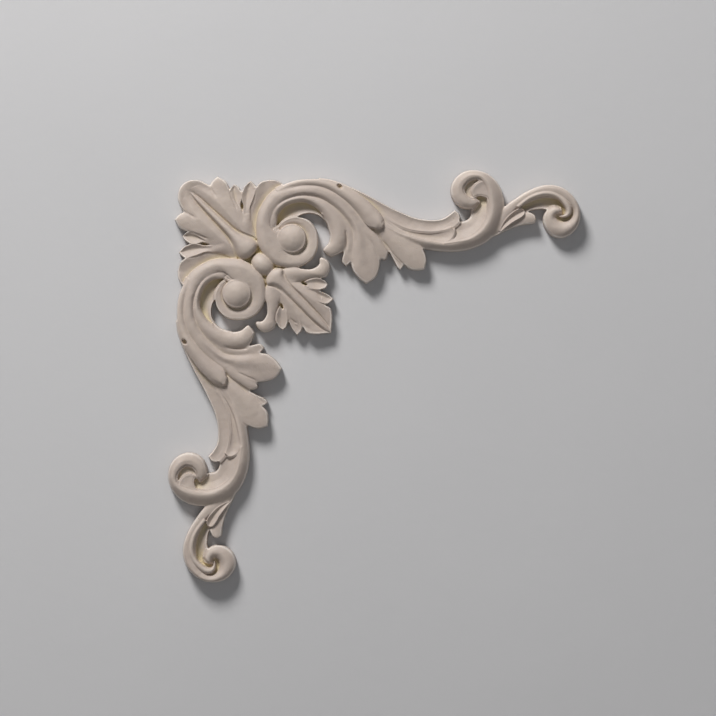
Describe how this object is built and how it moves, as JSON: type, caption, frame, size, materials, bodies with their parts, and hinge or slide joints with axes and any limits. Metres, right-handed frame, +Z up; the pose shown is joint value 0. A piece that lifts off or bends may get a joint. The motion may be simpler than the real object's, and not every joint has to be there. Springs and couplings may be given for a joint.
{
  "type": "corner onlay",
  "caption": "Cast polyurethane corner onlay: two mirrored acanthus and scroll arms that meet in a leaf corner, flat back, for fixing to a panel, door or wall",
  "frame": {"origin": "on the flat back, behind the bead where the two arms meet", "axes": "+Z is up and +X points right as seen from the front; the flat back lies at y = 0 and faces +Y, and the relief rises towards -Y, so the front is seen looking along +Y. One arm runs along +X, the other along -Z."},
  "size_m": [0.2067, 0.0102, 0.2067],
  "materials": {
    "cast_polyurethane": "unpainted cream polyurethane, satin to matt, with a slightly deeper yellow in the recesses"
  },
  "bodies": {
    "root": {"corner_onlay": "cast_polyurethane"}
  },
  "joints": []
}
